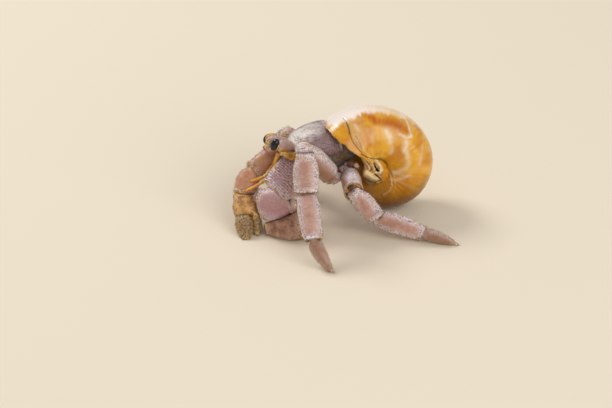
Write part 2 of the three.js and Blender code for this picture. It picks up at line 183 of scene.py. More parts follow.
def measureBar(name, heading, across, bend):
    # a bar's centre line, its local axes and its radius all round, read by rays from inside the node
    node = readNode(name)
    direction = longAxis(node, heading)
    reach = node["points"] @ direction
    low, length = reach.min(), np.ptp(reach)
    shares = np.linspace(0.07, 0.93, barMeasure["stations"])
    base = node["centre"] - direction * (node["centre"] @ direction)
    middles = np.array([sliceCentre(node, base + direction * (low + length * s), direction) for s in shares])
    line = np.polynomial.polynomial.polyfit(shares, middles, bend)
    angles = fullTurn(barMeasure["rays"])
    rings = np.linspace(0.03, 0.97, barMeasure["rings"])
    radii = np.zeros((len(rings), len(angles)))
    for i, share in enumerate(rings):
        place, forward = onLine(line, share)
        for j, ray in enumerate(spokes(*crossAxes(forward, across), angles)):
            radii[i, j] = node["tree"].ray_cast(Vector(place), Vector(ray))[3] or np.nan
    radii = soften(np.where(np.isnan(radii), np.nanmedian(radii), radii), barMeasure["softened"])
    waves = np.fft.rfft(radii, axis=1)[:, :barMeasure["harmonics"] + 1] / len(angles)
    return {"line": line, "across": across, "rings": rings, "waves": waves, "length": length}


def onLine(line, share):
    share = np.asarray(share, float)
    powers = np.arange(len(line))
    place = (line * share[..., None, None] ** powers[:, None]).sum(-2)
    slope = (line[1:] * (powers[1:, None] * share[..., None, None] ** (powers[1:, None] - 1))).sum(-2)
    return place, unit(slope)


def crossAxes(forward, across):
    across = np.asarray(across, float)
    first = unit(across - forward * (forward @ across)[..., None])
    return first, np.cross(forward, first)


def radiusAt(bar, share, angles):
    # the measured radius for rings `share` (n) and angles (m)
    total = np.zeros((len(share), len(angles)))
    for k, wave in enumerate(bar["waves"].T):
        real, imaginary = (np.interp(share, bar["rings"], part)[:, None] for part in (wave.real, wave.imag))
        total += (2 if k else 1) * (real * np.cos(k * angles) - imaginary * np.sin(k * angles))
    return total


# making meshes

def fill(rows, key, values, kind=np.float32):
    rows.foreach_set(key, np.asarray(values).astype(kind).ravel())


def meshPiece(name, points, faces, material=None, masks=None, uv=None):
    # points in mm; faces is a list of equal-sided index arrays
    mesh = bpy.data.meshes.new(name)
    mesh.vertices.add(len(points))
    fill(mesh.vertices, "co", points * mm)
    corners = np.concatenate([f.ravel() for f in faces])
    sizes = np.concatenate([np.full(len(f), f.shape[1]) for f in faces])
    starts = np.concatenate([[0], np.cumsum(sizes)[:-1]])
    mesh.loops.add(len(corners))
    fill(mesh.loops, "vertex_index", corners, np.int32)
    mesh.polygons.add(len(sizes))
    fill(mesh.polygons, "loop_start", starts, np.int32)
    fill(mesh.polygons, "use_smooth", np.ones(len(sizes)), bool)
    mesh.update(calc_edges=True)
    for key, values in (masks or {}).items():
        fill(mesh.attributes.new(key, "FLOAT", "POINT").data, "value", values)
    if uv is not None:
        fill(mesh.uv_layers.new(name="OFBake").data, "uv", uv[corners])
    mesh.validate()
    piece = bpy.data.objects.new(name, mesh)
    bpy.context.scene.collection.objects.link(piece)
    if material:
        mesh.materials.append(material)
    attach(piece, "root")
    return piece


def tubeArrays(grid, masks, offset=0):
    # a closed tube from a grid of rings x sides x 3: its points, quads, a fan over each end, and masks
    rings, sides = grid.shape[:2]
    points = np.vstack([grid.reshape(-1, 3), grid[0].mean(0), grid[-1].mean(0)])
    row, side = np.arange(rings - 1)[:, None] * sides, np.arange(sides)
    after = (side + 1) % sides
    quads = np.stack([row + side, row + after, row + sides + after, row + sides + side], -1).reshape(-1, 4)
    hub, last = np.full(sides, rings * sides), (rings - 1) * sides
    fans = np.vstack([np.stack([hub, after, side], -1), np.stack([hub + 1, last + side, last + after], -1)])
    flat = {k: np.concatenate([v.ravel(), [v[0].mean(), v[-1].mean()]]) for k, v in masks.items()}
    return points, quads + offset, fans + offset, flat


def onFloor(points):
    # nothing goes below the level that the animal stands on
    points[..., 2] = np.maximum(points[..., 2], 0)
    return points


def tubePiece(name, grid, masks, material):
    points, quads, fans, flat = tubeArrays(onFloor(grid), masks)
    return meshPiece(name, points, [quads, fans], material, flat)


def gridNormals(grid):
    return unit(np.cross(np.roll(grid, -1, 1) - np.roll(grid, 1, 1), np.gradient(grid, axis=0)))


# making materials

def linearColour(code):
    # "#rrggbb" as the eye sees it, turned to linear light
    values = [int(code[k:k + 2], 16) / 255 for k in (1, 3, 5)]
    return tuple(v / 12.92 if v <= 0.04045 else ((v + 0.055) / 1.055) ** 2.4 for v in values) + (1,)


def put(tree, kind, inputs, **settings):
    # one node with its settings; an input takes a value or another node's output
    node = tree.nodes.new(kind)
    for key, value in settings.items():
        setattr(node, key, value)
    for key, value in inputs.items():
        if isinstance(value, bpy.types.NodeSocket):
            tree.links.new(value, node.inputs[key])
        else:
            node.inputs[key].default_value = value
    return node


def patternOf(tree, source, low=0.35, high=0.65, detail=3.0):
    # noise in object space with lumps `source` mm wide, or a mesh mask by its name, spread between two
    # levels. With no detail it is round facets of that width
    if isinstance(source, str):
        value = put(tree, "ShaderNodeAttribute", {}, attribute_name=source)
    else:
        place = {"Vector": put(tree, "ShaderNodeTexCoord", {}).outputs["Object"], "Scale": 1 / (source * mm)}
        if detail is None:
            return put(tree, "ShaderNodeTexVoronoi", place).outputs["Distance"]
        value = put(tree, "ShaderNodeTexNoise", {**place, "Detail": detail})
    spread = {"Value": value.outputs["Fac"], "From Min": low, "From Max": high}
    return put(tree, "ShaderNodeMapRange", spread).outputs["Result"]


def makeMaterial(name, look):
    # a ground colour under its coats, and a fine bump: (depth mm, pattern). A coat is (mask or lumps' size
    # in mm, colour, strength, low level, high level), where the last three may be left out
    material = bpy.data.materials.new(name)
    material.use_nodes = True
    tree = material.node_tree
    tree.nodes.clear()
    colour = linearColour(look["ground"])
    for source, tint, *rest in look.get("coats", ()):
        strength, *levels = rest or (1,)
        share = patternOf(tree, source, *(levels or ((0, 1) if isinstance(source, str) else ())))
        if strength < 1:
            share = put(tree, "ShaderNodeMath", {0: share, 1: strength}, operation="MULTIPLY").outputs[0]
        tint = linearColour(look.get(tint, tint))
        colour = put(tree, "ShaderNodeMix", {0: share, 6: colour, 7: tint}, data_type="RGBA").outputs[2]
    inputs = {"Base Color": colour, **look["sockets"]}
    if "bump" in look:
        depthMm, *pattern = look["bump"]
        height = patternOf(tree, *pattern)
        raised = put(tree, "ShaderNodeBump", {"Height": height, "Distance": depthMm * mm, "Strength": 1.0})
        inputs["Normal"] = raised.outputs["Normal"]
    shader = put(tree, "ShaderNodeBsdfPrincipled", inputs)
    put(tree, "ShaderNodeOutputMaterial", {"Surface": shader.outputs["BSDF"]})
    return material


# hard plates: chitin hardened with lime in one moult, satin, with lilac margins, pale grain and dark furrows.
# Where a plate asks for it, the pale colour is also painted on its upward-facing top as a highlight
plateLook = {
    "joint": "#64401f",
    "warm": "#cf9440",
    "coats": (("margin", "mauve"), (0.8, "furrow", 0.3, 0.5, 0.75), ("warm", "warm"), ("bleach", "pale"),
              ("pale", "pale"), ("furrow", "furrow"), ("joint", "joint")),
    "bump": (0.03, 0.22, 0.3, 0.7, 2.0),   # real pores are half of 0.22 mm; drawn coarser so that they show
    "sockets": {"Roughness": 0.42, "IOR": 1.54, "Coat Weight": 0.2, "Coat Roughness": 0.25},
}
tintColumns = ("ground", "rose", "mauve", "pale", "furrow", "cloudMm", "warm")
plateTints = {
    "leg": ("#b27f69", "#bf9381", "#ddced5", "#faf4f1", "#5b3d41", 3.6),
    "meral": ("#a27153", "#b08060", "#cfbdbf", "#f2e8e2", "#5b3d41", 3.6),
    "claw": ("#bc8c86", "#b78890", "#e2d2da", "#fcf7f5", "#6a454a", 3.6),
    "tip": ("#9a6d54", "#a67c65", "#c2ada6", "#e6d8d0", "#4c3229", 3.6),
    "hand": ("#bd8b6d", "#8c5a42", "#c6a595", "#e6d5c8", "#50301f", 1.8),
    "farArm": ("#bd7d60", "#c48b5f", "#bd9c85", "#e3d2bb", "#6b432b", 3.6),
    "farHand": ("#d9a055", "#a06c38", "#cfa66b", "#e8cd98", "#5c3a1c", 1.9),
    "finger": ("#96703f", "#a67f4d", "#a08458", "#d9c499", "#49351f", 3.6),
    "shield": ("#8a6b72", "#8f6e66", "#9f888e", "#f4ece2", "#4d3132", 2.4),
    "peduncle": ("#dca538", "#b3732b", "#e2b95c", "#f1dc94", "#4b2d13", 1.1),
    "stalk": ("#b18d88", "#bd9a88", "#bca7a6", "#e8dcd0", "#5a3d30", 1.6, "#e3a532"),
}
chitins = {}
for kind, row in plateTints.items():
    look = {**plateLook, **dict(zip(tintColumns, row))}
    look["coats"] = ((look["cloudMm"], "rose", 1, 0.38, 0.62), *look["coats"])
    chitins[kind] = makeMaterial(kind + "Chitin", look)

# arthrodial membrane: soft, unhardened skin, brown with wet amber patches
membraneLook = {"ground": "#5b3f28", "coats": ((1.7, "#dc9a42", 1, 0.48, 0.6, 1.0),), "bump": (0.05, 0.3),
                "sockets": {"Roughness": 0.38, "IOR": 1.42}}
# setae: hollow chitin bristles, straw to brown
setaeLook = {"ground": "#a67a35", "coats": ((1.5, "#e3c284"),), "sockets": {"Roughness": 0.5, "IOR": 1.54}}
# feelers: thin flexible chitin, see-through orange over amber
feelerLook = {"ground": "#d98a1e", "coats": ((1.2, "#efb548"),), "bump": (0.03, 0.3),
              "sockets": {"Roughness": 0.35, "IOR": 1.5}}
membrane = makeMaterial("jointMembrane", membraneLook)
bristle = makeMaterial("bristleChitin", setaeLook)
chitins["feeler"] = makeMaterial("feelerChitin", feelerLook)
print("materials ready")


ahead = np.array([0.966, -0.259, 0.0])
upward = np.array([0.0, 0.0, 1.0])
meshStep = 0.15
# what a plate takes unless its own row says otherwise; lengths in mm, crests in degrees round it
plateShape = {
    "look": "leg",
    "bend": 2,              # power of the curve along its middle
    "widen": 1,
    "fill": 0.07,           # swelling of the ends
    "neck": 0.5,            # depth of the near end's cap, in radii
    "socket": True,         # a rolled rim at the far end, or a cap of `tipDepth` radii
    "tipDepth": 0.6,
    "crests": (0, 180),
    "crestWidth": 34,
    "crestHeight": 0.14,
    "margin": 1.0,
    "cover": 0.06,          # share of grain in the middle, and how much more at the margins
    "roughness": 0.95,
    "grainMm": 0.5,
    "grainHeight": 0.12,
    "specks": 0.9,
    "folds": 0.0,
    "jointTint": 1,
    "stain": 0.85,
    "edgeWarm": 0.2,
    "warmDepth": 1.0,
    "warmFrom": (0.1, 0.4),
    "hairs": 260,
    "waveHeight": 0.08,
    "rimHeight": 0.08,      # the far rim, then the groove behind it
    "rimGroove": 0.1,
    "speckDepth": 0.08,
    "foldDepth": 0.12,
    "foldMm": 0.7,          # from fold to fold
    "scaleHeight": 0.16,
}


def rowsOf(share, length):
    # each ring's place along a plate, how far the dressing counts there, and how much painted shade it gets
    # as part of a socket's hollow
    return {"share": share, "fromStart": share * length, "fromEnd": (1 - share) * length,
            "weight": 1 + 0 * share, "hollow": 0 * share}


def detailPlate(bar, plate, seed):
    # the fine surface of one plate: its measured bar, closed at both ends, then dressed
    length, girth = bar["length"], abs(bar["waves"][:, 0]).mean()
    share = np.linspace(0, 1, max(18, int(length / meshStep)))
    angles = fullTurn(max(24, int(2 * math.pi * girth / meshStep)))
    place, forward = onLine(bar["line"], share)
    first, second = crossAxes(forward, bar["across"])
    ray = spokes(first[:, None], second[:, None], angles)
    radius = radiusAt(bar, share, angles) * plate["widen"]
    radius *= 1 + plate["fill"] * (ramp(0.84, 1.0, share) + 0.5 * ramp(0.1, 0.0, share))[:, None]
    rows = rowsOf(share, length)
    grid = place[:, None] + ray * radius[..., None]
    head, headRay, headRows = dome(grid[0], -forward[0], plate["neck"], rows, 0)
    if plate["socket"]:
        foot, footRay, footRows = socketRows(grid[-1], forward[-1], ray[-1], rows)
    else:
        foot, footRay, footRows = dome(grid[-1], forward[-1], plate["tipDepth"], rows, -1)
    grid = np.vstack([head[::-1], grid, foot])
    ray = np.vstack([headRay[::-1], ray, footRay])
    rows = {key: np.concatenate([headRows[key][::-1], rows[key], footRows[key]]) for key in rows}
    forward = np.pad(forward, ((len(head), len(foot)), (0, 0)), mode="edge")
    return dressPlate(grid, ray, forward, rows, angles, {**plate, "girth": girth}, seed)


def dome(ring, outward, depth, rows, end):
    # rings closing an end, as a rounded cap `depth` radii deep
    middle = ring.mean(0)
    arms = ring - middle
    radius = np.linalg.norm(arms, axis=1).mean()
    rise = np.radians(np.linspace(8, 85, max(5, int(1.2 * radius / meshStep))))[:, None]
    past = radius * depth * np.sin(rise)
    grid = middle + arms * np.cos(rise)[..., None] + outward * past[..., None]
    ray = unit(unit(arms) * np.cos(rise)[..., None] + outward * np.sin(rise)[..., None])
    kept = {key: np.full(len(rise), values[end]) for key, values in rows.items()}
    kept["fromEnd" if end else "fromStart"] = -past[:, 0]
    return grid, ray, kept


def socketRows(ring, forward, spoke, rows):
    # the far rim rolls over into a hollow that the next plate sits in: radius, reach in mm, and the painted
    # shade that darkens the hollow
    profile = np.array([(0.98, 0.12, 0), (0.92, 0.15, 0.1), (0.86, 0.06, 0.5), (0.8, -0.2, 1), (0.6, -0.4, 1),
                        (0.3, -0.45, 1)])
    middle = ring.mean(0)
    grid = middle + (ring - middle) * profile[:, 0, None, None] + forward * profile[:, 1, None, None]
    kept = {key: np.full(len(profile), values[-1]) for key, values in rows.items()}
    kept.update(weight=0 * profile[:, 0], hollow=profile[:, 2])
    return grid, np.repeat(spoke[None], len(profile), 0), kept


def dressPlate(grid, ray, forward, rows, angles, plate, seed):
    # margins, grain, specks, scales and wrinkles, as displacement and as colour masks
    share, fromStart, fromEnd, weight, hollow = (values[:, None] for values in rows.values())

    def patches(size, shift, low, high):
        return ramp(low, high, softNoise(grid, size, seed + shift))

    wobble = np.stack([softNoise(grid, 0.8, seed + 30 + k) for k in range(3)], -1)
    # crests run along the two edges of a flattened plate
    edge = np.zeros((1, len(angles)))
    for crest in plate["crests"]:
        turn = (np.degrees(angles)[None] - crest + 180) % 360 - 180
        edge = np.maximum(edge, bell(turn, plate["crestWidth"]))
    rims = np.maximum(bell(np.maximum(fromEnd, 0), 1.2), 0.8 * bell(np.maximum(fromStart, 0), 1.0))
    margin = np.maximum(edge, rims) * (0.9 + 0.45 * layeredNoise(grid, 2.4, seed + 2))
    margin = np.clip(margin, 0, 1) * plate["margin"]
    lift = plate["crestHeight"] * edge * np.sin(math.pi * np.clip(share, 0.02, 0.98)) ** 0.5
    lift = lift + plate["rimHeight"] * bell(fromEnd - 0.25, 0.3)
    lift = lift - plate["rimGroove"] * bell(fromEnd - 0.8, 0.3)
    lift = lift + plate["waveHeight"] * layeredNoise(grid, 3.2, seed)
    cover = np.clip(plate["cover"] + plate["roughness"] * ramp(0.1, 0.75, margin), 0, 1)
    grain = granules(grid + 0.14 * wobble, plate["grainMm"], seed)
    speck = ramp(0.42, 0.75, granules(grid - 0.26 * wobble, 1.1 * plate["grainMm"], seed + 40))
    speck = speck * cover * ramp(-0.75, -0.2, wobble[..., 0]) * plate["specks"]
    lift = lift + plate["grainHeight"] * (grain - 0.2) * cover - plate["speckDepth"] * speck
    pale = margin * ramp(0.15, 0.7, grain) * (0.85 + 0.5 * layeredNoise(grid, 1.6, seed + 5))
    foldMm = plate["foldMm"]
    folds = bell((fromEnd + 0.3 * softNoise(grid, 2.0, seed + 7)) % foldMm - foldMm / 2, 0.13)
    folds = folds * bell(fromEnd - 1.7, 0.95) * patches(3.0, 8, -0.3, 0.3) * plate["folds"]
    lift = lift - plate["foldDepth"] * folds
    furrow = np.maximum(speck, 0.8 * folds)
    if "rowMm" in plate:
        side = ramp(-0.3, 0.3, ray @ unit(plate["scaleSide"])) * ramp(0.3, 1.2, fromStart)
        scale = scaleRows(fromStart, angles * plate["girth"], grid, plate["rowMm"], plate["scaleMm"], seed)
        patchy = side * (0.7 + 0.5 * softNoise(grid, 1.1, seed + 6))
        lift = lift + plate["scaleHeight"] * scale * side
        furrow = furrow * (1 - 0.7 * side) + 0.8 * patchy * ramp(0.24, 0.04, scale)
        pale = pale * (1 - 0.6 * side) + 0.75 * patchy * ramp(0.45, 0.85, scale)
    grid = grid + ray * (lift * weight)[..., None]
    joint = 0.9 * bell(fromStart + 1.2 * plate["neck"], 0.35) + 0.5 * bell(fromEnd, 0.12) * plate["socket"]
    # the socket's hollow is darkened with the joint colour: painted shade
    joint = np.maximum(np.clip(joint, 0, 1) * plate["jointTint"], hollow)
    # straw and amber stain gathers at the joints
    warm = np.maximum(bell(np.maximum(fromEnd, 0), 0.5), 0.8 * bell(fromStart - 0.2, 0.45)) * plate["stain"]
    alongEdge = plate["edgeWarm"] * edge ** 2 * patches(0.9, 12, -0.3, 0.4)
    warm = np.maximum(warm * patches(1.3, 9, -0.35, 0.3), alongEdge)
    if "warmSide" in plate:
        side = ramp(0.45, 0.85, ray @ unit(plate["warmSide"]) + 0.3 * softNoise(grid, 1.4, seed + 9))
        warm = np.maximum(warm, side * plate["warmDepth"] * ramp(*plate["warmFrom"], share))
    masks = {"margin": margin, "pale": pale, "furrow": furrow, "joint": joint, "warm": warm}
    # painted highlight: the upward-facing top is painted pale, fading towards the rear, and its furrows are
    # lightened there; the far rim is pale too
    if "bleach" in plate:
        top = ramp(0.72, 1.02, ray @ upward + 0.16 * layeredNoise(grid, 1.4, 5))
        top = top * (1 - 0.5 * ramp(0.3, 0.9, share))
        masks["bleach"] = plate["bleach"] * np.maximum(top, 0.8 * bell(fromEnd - 0.12, 0.22))
        masks["furrow"] = furrow * (1 - 0.55 * top)
    # a pale tip towards the far end, the part's own colour, carried in the same mask
    if "paleFrom" in plate:
        masks["bleach"] = ramp(*plate["paleFrom"], share)
    masks = {key: np.clip(values + 0 * lift, 0, 1) for key, values in masks.items()}
    wide = {"edge": edge, "fromEnd": fromEnd, "fromStart": fromStart}
    patch = {key: values + 0 * margin for key, values in wide.items()}
    return grid, masks, {**patch, "grid": grid, "normals": gridNormals(grid), "forward": forward, "ray": ray}


# bristles: thin bent spikes as solid mesh
bristleLook = {"sizeMm": (0.8, 0.08), "lean": 0.8, "wild": 0.22, "taper": 0.72, "sinkMm": 0.06,
               "spot": 0.003}   # each bristle's patch on the unwrap
bristleSides = 3                # the faces are laid out for three


def growBristles(patch, amount, sizeMm, chance, rng, cell=(0, 1)):
    # roots are picked over a plate's own grid; `sizeMm` is length and thickness, and `cell` is the plate's
    # strip of the unwrap
    weight = np.clip(chance, 0, None).ravel()
    picked = rng.choice(len(weight), size=amount, p=weight / weight.sum())
    rows, sides = patch["grid"].shape[:2]
    i, j = picked // sides, picked % sides
    normal, along = patch["normals"][i, j], patch["forward"][i]
    wild = rng.normal(0, bristleLook["wild"], (amount, 3))
    heading = unit(normal * (1 - 0.45 * bristleLook["lean"]) + along * bristleLook["lean"] + wild)
    final = unit(heading + along * 0.5 + wild * 0.6 + np.array([0, 0, -0.15]))
    length = sizeMm[0] * rng.uniform(0.55, 1.15, amount)[:, None]
    first = unit(np.cross(heading, normal + wild + 0.01))
    second = np.cross(heading, first)
    base = patch["grid"][i, j] - normal * bristleLook["sinkMm"]
    knee = base + heading * length * 0.5
    tip = knee + final * length * 0.5
    rings = []
    for centre, thick in ((base, sizeMm[1]), (knee, sizeMm[1] * bristleLook["taper"])):
        for angle in fullTurn(bristleSides):
            rings.append(centre + (first * math.cos(angle) + second * math.sin(angle)) * thick / 2)
    low, high = cell
    place = np.stack([low + (high - low) * (0.02 + 0.96 * j / sides), 0.02 + 0.96 * i / rows], -1)
    return np.stack([*rings, tip], 1), place


def bristlePiece(name, batches):
    spikes, roots = (np.concatenate(parts) for parts in zip(*batches))
    start = np.arange(len(spikes))[:, None, None] * 7
    sides = np.arange(bristleSides)
    after = (sides + 1) % len(sides)
    quads = np.stack([sides, after, 3 + after, 3 + sides], -1)[None] + start
    tips = np.stack([3 + sides, 3 + after, np.full(3, 6)], -1)[None] + start
    ends = np.vstack([tips.reshape(-1, 3), (np.array([[2, 1, 0]])[None] + start).reshape(-1, 3)])
    shape = np.array([[0, 0], [1, 0], [0.5, 0.3], [0.1, 0.6], [0.9, 0.6], [0.5, 0.7], [0.5, 1]])
    uv = (roots[:, None] + shape[None] * bristleLook["spot"]).reshape(-1, 2)
    meshPiece(name, onFloor(spikes.reshape(-1, 3)), [quads.reshape(-1, 4), ends], bristle, uv=uv)


# every plate of the limbs, from the body outwards; `across` is the way its first crest faces
stubPlate = dict(roughness=0.3, margin=0.5, socket=False, neck=0.3, bend=1)
walkingPlates = {
    "ischium": stubPlate,
    "merus": dict(roughness=0.45, margin=0.85, folds=0.5, tipDepth=0.75, socket=False),
    "carpus": dict(folds=1.0, crestWidth=44, neck=1.0),
    "propodus": dict(crestWidth=38),
    "dactyl": dict(look="tip", grainMm=0.45, roughness=0.7, socket=False, tipDepth=1.2, fill=0.0,
                   crestHeight=0.08, margin=0.8),
}
limbs = {
    "left_second": dict(across=ahead, merus=dict(look="meral", stain=0.4, margin=1.25)),
    "left_third": dict(across=upward, cuff="merus", dactyl=dict(widen=1.12),
                       merus=dict(socket=True, folds=1.6, fill=0.14, neck=0.4, margin=1.3),
                       propodus=dict(crests=(-8, 145), crestWidth=33, widen=1.1)),
    "right_second": dict(across=ahead, merus=dict(look="meral")),
    "right_third": dict(across=upward),
}
handPlate = dict(across=(0.3, 0.48, 0.86), look="hand", cover=0.5, socket=False, tipDepth=0.9, fill=0.0)
tipPlate = dict(across=ahead, look="finger", cover=1.0, grainMm=0.55, grainHeight=0.18, socket=False,
                fill=0.0)
leftClawPlates = {
    "ischium": dict(stubPlate, across=upward, look="claw"),
    "merus": dict(across=(-0.61, 0.52, 0.6), look="claw", crestHeight=0.18, crestWidth=16, margin=0.9,
                  socket=False, rowMm=0.7, scaleMm=1.25, scaleSide=(-0.5, -1, 0.7), tipDepth=0.25,
                  warmSide=(-0.5, -0.5, -0.7), warmFrom=(0.3, 0.8), warmDepth=0.55),
    "carpus": dict(across=ahead, look="claw", cover=0.25, crestWidth=30, edgeWarm=0.6,
                   warmSide=(0.3, -0.8, 0.5), warmFrom=(0.8, 0.97), warmDepth=0.8),
    "palm": dict(handPlate, cover=0.3, crestHeight=0.2, margin=0.6, edgeWarm=0.7, fill=0.07, tipDepth=0.6),
    "finger": handPlate,
    "dactyl": handPlate,
}
armPlate = dict(look="farArm", socket=False, tipDepth=0.3)
rightClawPlates = {
    "ischium": dict(stubPlate, across=upward, look="farArm"),
    "merus": dict(armPlate, across=(-0.5, 0.3, 0.8), crestWidth=20, margin=0.7),
    "carpus": dict(armPlate, across=ahead, cover=0.2, crestWidth=30, margin=0.8),
    "palm": dict(across=ahead, look="farHand", cover=0.6, margin=0.6, socket=False, grainMm=0.6),
    "finger": tipPlate,
    "dactyl": tipPlate,
}


def camel(name):
    words = name.split("_")
    return words[0] + "".join(w.title() for w in words[1:])


def addPlate(nodeName, grid, masks, look, pieceName=""):
    piece = tubePiece(pieceName or camel(nodeName), grid, masks, chitins[look])
    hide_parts(nodeName)


# widths and depths are shares of the plates' radii
jointLook = {"rings": 14, "sides": 28, "wrinkles": 9, "wrinkleHeight": 0.05, "width": 0.8, "depth": 0.85,
             "cuffWidth": 0.93, "cuffDepth": 0.42, "cuffInsetMm": 0.25}


def jointBetween(first, second, cuffed):
    # skin in the middle of the facing ends of two measured bars, or drawn across the first one's wide cuff
    end, forward = onLine(first["line"], 1.0)
    start, onward = onLine(second["line"], 0.0)
    wide, narrow = abs(first["waves"][-1, 0]), abs(second["waves"][0, 0])
    if cuffed:
        place = end - jointLook["cuffInsetMm"] * forward
        return place, forward, jointLook["cuffWidth"] * wide, jointLook["cuffDepth"] * wide
    radius = jointLook["width"] * min(wide, narrow)
    return (end + start) / 2, unit(forward + onward), radius, jointLook["depth"] * radius


def makeMembranes(name, ends):
    # a wrinkled sleeve inside each joint
    points, quads, fans, total = [], [], [], 0
    rise = np.radians(np.linspace(-84, 84, jointLook["rings"]))
    swell = np.cos(rise) ** 0.6 * (1 + jointLook["wrinkleHeight"] * np.cos(jointLook["wrinkles"] * rise))
    for place, heading, radius, depth in ends:
        ray = spokes(*crossAxes(heading, unit([0.31, 0.22, 0.92])), fullTurn(jointLook["sides"]))
        grid = place + ray * (radius * swell)[:, None, None] + heading * (depth * np.sin(rise))[:, None, None]
        made = tubeArrays(onFloor(grid), {}, total)
        for parts, more in zip((points, quads, fans), made):
            parts.append(more)
        total += len(made[0])
    piece = meshPiece(name, np.vstack(points), [np.vstack(quads), np.vstack(fans)], membrane)


def makeLimb(node, limb, kinds, seed):
    rng = np.random.default_rng(seed)
    nodes = {kind: f"{node}_{kind}" for kind in kinds}
    bars, batches = {}, []
    for k, (kind, plate) in enumerate(kinds.items()):
        plate = {**plateShape, **plate, **limb.get(kind, {})}
        other = {"finger": "dactyl", "dactyl": "finger"}.get(kind)
        chain = [n for near, n in nodes.items() if near != other]
        place = chain.index(nodes[kind])
        before, after = chain[max(0, place - 1)], chain[min(len(chain) - 1, place + 1)]
        heading = readNode(after)["centre"] - readNode(before)["centre"]
        bars[kind] = measureBar(nodes[kind], heading, plate.get("across", limb.get("across")), plate["bend"])
        grid, masks, patch = detailPlate(bars[kind], plate, seed + 3 * k)
        addPlate(nodes[kind], grid, masks, plate["look"])
        chance = patch["edge"] ** 2 + 0.6 * bell(patch["fromEnd"] - 0.5, 0.6)
        if kind == "dactyl":
            chance = 0.3 + patch["edge"]
        cell = (k / len(kinds), (k + 1) / len(kinds))
        batches.append(growBristles(patch, plate["hairs"], bristleLook["sizeMm"], chance, rng, cell))
    steps = [kind for kind in kinds if kind != "finger"]
    pairs = [*zip(steps[:-1], steps[1:])] + [("palm", "finger")] * ("finger" in bars)
    ends = [jointBetween(bars[near], bars[far], limb.get("cuff") == near) for near, far in pairs]
    makeMembranes(camel(node) + "Joints", ends)
    bristlePiece(camel(node) + "Bristles", batches)


for number, (node, limb) in enumerate(limbs.items()):
    makeLimb(node, limb, walkingPlates, 11 + 20 * number)
makeLimb("left_claw", {}, leftClawPlates, 111)
makeLimb("right_claw", {}, rightClawPlates, 131)
print("limbs made")


# the snail shell: a log spiral tube of a moon snail
shellShape = {
    "apexFromCorner": (17.315, 17.209, 7.6),   # mm from the low corner of the node's box
    "axis": (0.25, 0.86, -0.44),               # from the base towards the apex
    "zero": (0.966, -0.259, 0.0),
    "growth": 2.6,                             # times wider in each full turn
    "swell": 0.07,                             # share the reach gains towards `zero`
    "reach": 20.2,
    "navel": 0.9,
    "halfHeight": 11.4,
    "drop": 12.4,
    "wall": 1.0,
    "lipWall": 0.45,
    "lipTurn": 137.0,                          # turns and the lip's bow are in degrees
    "oldestTurn": -760.0,
    "hollowTurns": 118.0,
    "lipBow": 6.0,
    "corner": 2.2,
    "mesh": (620, 220),                        # rings and sides
    "draftMesh": (340, 130),
    "streak": 0.035,                           # relief in mm: growth lines, cracks, navel's ridge, lip's step
    "crack": 0.16,
    "ridge": 0.26,
    "step": 0.1,
}


def shellAxes():
    low = np.array(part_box("shell")[0]) / mm
    axis, zero = unit(shellShape["axis"]), np.array(shellShape["zero"])
    zero = unit(zero - axis * (zero @ axis))
    return low + shellShape["apexFromCorner"], axis, zero, np.cross(-axis, zero)


def shellSurface(turn, around, inset=0.0):
    # turn in degrees round the axis, around in degrees round the tube: 0 outermost, 90 apex side
    shape = shellShape
    apex, axis, zero, quarter = shellAxes()
    angle = np.radians(around)
    nearLip = np.clip(1 - (shape["lipTurn"] - turn) / 45, 0, 1.2)
    turn = turn + shape["lipBow"] * np.clip(-np.sin(angle), 0, 1) * nearLip
    size = shape["growth"] ** ((turn - shape["lipTurn"]) / 360)
    across, along = np.cos(np.radians(turn))[..., None], np.sin(np.radians(turn))[..., None]
    swell = 1 + shape["swell"] * np.clip(across, 0, 1) ** 2
    # the tube's section is a little squarer than an ellipse
    wide, tall = (np.sign(w) * np.abs(w) ** (2 / shape["corner"]) for w in (np.cos(angle), np.sin(angle)))
    reach = (shape["reach"] + shape["navel"]) / 2 * size
    reach = reach + wide * ((shape["reach"] - shape["navel"]) / 2 * size - inset)
    rise = tall * (shape["halfHeight"] * size - inset) - shape["drop"] * size
    return apex + (across * zero + along * quarter) * swell * reach[..., None] + axis * rise[..., None]


# moon snail shell: aragonite with a polished outer coat, so a sharp gloss over soft brown and ochre stains.
# The brown towards the base is partly painted shade, the near-white top by the lip partly a painted
# highlight, and the olive marks by the navel painted shade
shellLook = {
    "ground": "#e6a822",
    "ochre": "#cf8a0e",
    "straw": "#e0b87c",
    "amber": "#bd5d02",
    "cream": "#f3e2c6",
    "peach": "#f0cfa6",
    "blush": "#f6e7da",
    "umber": "#683a08",
    "olive": "#6b5a1e",
    "scar": "#35230f",
    "coats": ((5.0, "ochre", 1, 0.42, 0.6), ("bands", "straw", 0.5, 0.5, 0.9),
              (2.2, "amber", 0.22, 0.55, 0.75), ("growth", "amber", 0.13, 0.6, 1.0), ("low", "umber", 0.95),
              ("peach", "peach"), ("blush", "blush"), ("amber", "amber"), ("cream", "cream"),
              ("ridge", "straw", 0.4), ("rim", "ochre", 0.8), ("olive", "olive"), ("scar", "scar"),
              ("inside", "straw")),
    "bump": (0.04, "growth", 0, 1),
    "sockets": {"Roughness": 0.24, "IOR": 1.46, "Coat Weight": 0.15, "Coat Roughness": 0.12},
}
# where the pale top of the whorl begins: degrees behind the lip, degrees round the tube
paleTopEdge = ((-10, -40), (6, -48), (15, -53), (26, -50), (37, -48), (48, -45), (60, -41), (69, -37),
             (87, -27), (101, -13), (140, 20), (400, 60))
